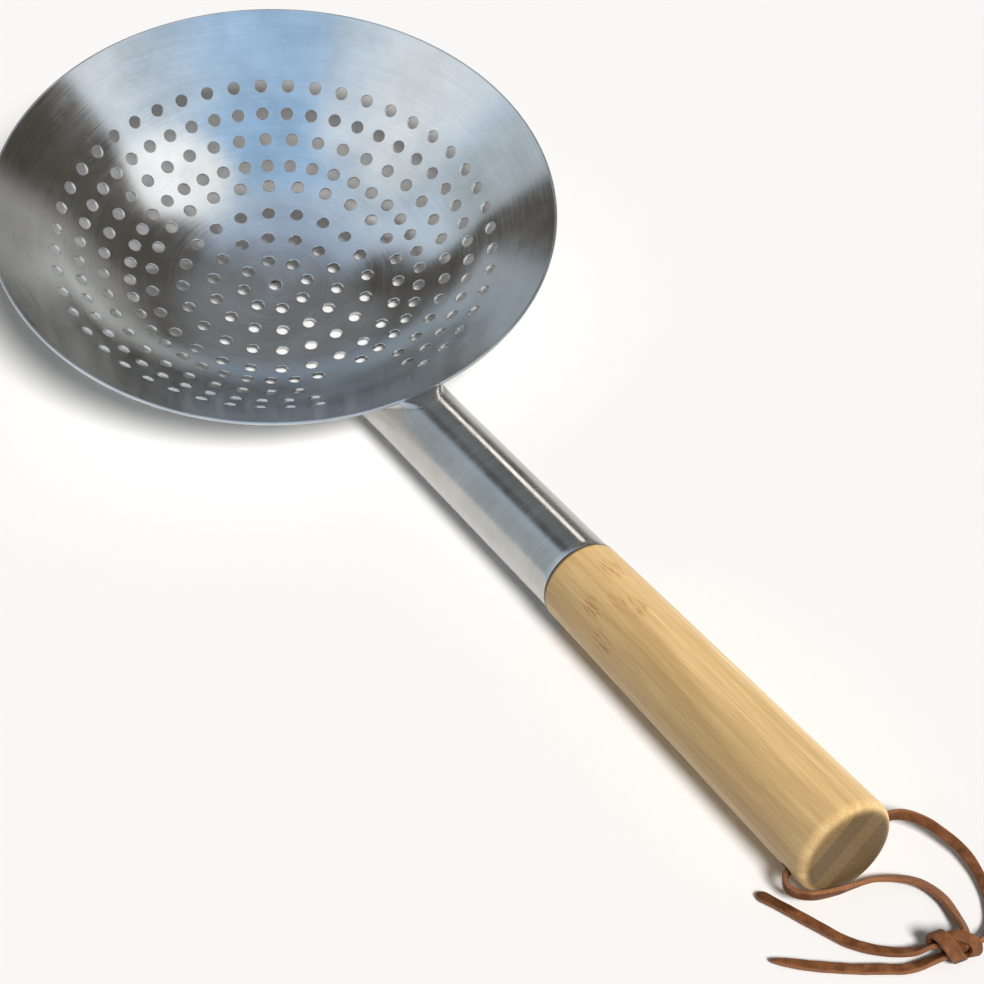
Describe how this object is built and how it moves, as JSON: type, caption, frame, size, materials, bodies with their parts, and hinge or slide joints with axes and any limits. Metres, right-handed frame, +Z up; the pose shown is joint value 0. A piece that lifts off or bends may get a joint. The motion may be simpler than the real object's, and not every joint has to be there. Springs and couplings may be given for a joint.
{
  "type": "perforated skimmer",
  "caption": "Perforated steel wok skimmer: a dished bowl of round drain holes welded to a tubular socket, with a laminated bamboo handle and a knotted leather hanging lace.",
  "frame": {"origin": "on the table, under the middle of the skimmer's box measured without the lace", "axes": "+X from the bowl to the handle's end, +Z up from the table, +Y to the left of the handle"},
  "size_m": [0.5161, 0.2216, 0.0773],
  "materials": {
    "steel": "satin stainless sheet with fine brushing",
    "weld": "ground weld, hazy",
    "bamboo": "sanded laminated bamboo, thin clear coat",
    "leather": "russet lace with paler cut edges"
  },
  "bodies": {
    "skimmer": {"bowl": "steel", "socket_tube": "steel", "weld_bead": "weld", "bamboo_ply_1": "bamboo", "bamboo_ply_2": "bamboo", "bamboo_ply_3": "bamboo", "bamboo_ply_4": "bamboo", "bamboo_ply_5": "bamboo"},
    "lanyard": {"lace_in_hole": "leather", "lace_left": "leather", "lace_right": "leather", "lace_tail_upper": "leather", "lace_tail_lower": "leather", "lace_knot": "leather"}
  },
  "joints": [
    {"name": "lanyard_swing", "type": "hinge", "parent": "skimmer", "child": "lanyard", "pos_m": [0.22757, 0, 0.00968], "axis": [0, -1, 0], "range_deg": [0, 30]}
  ]
}
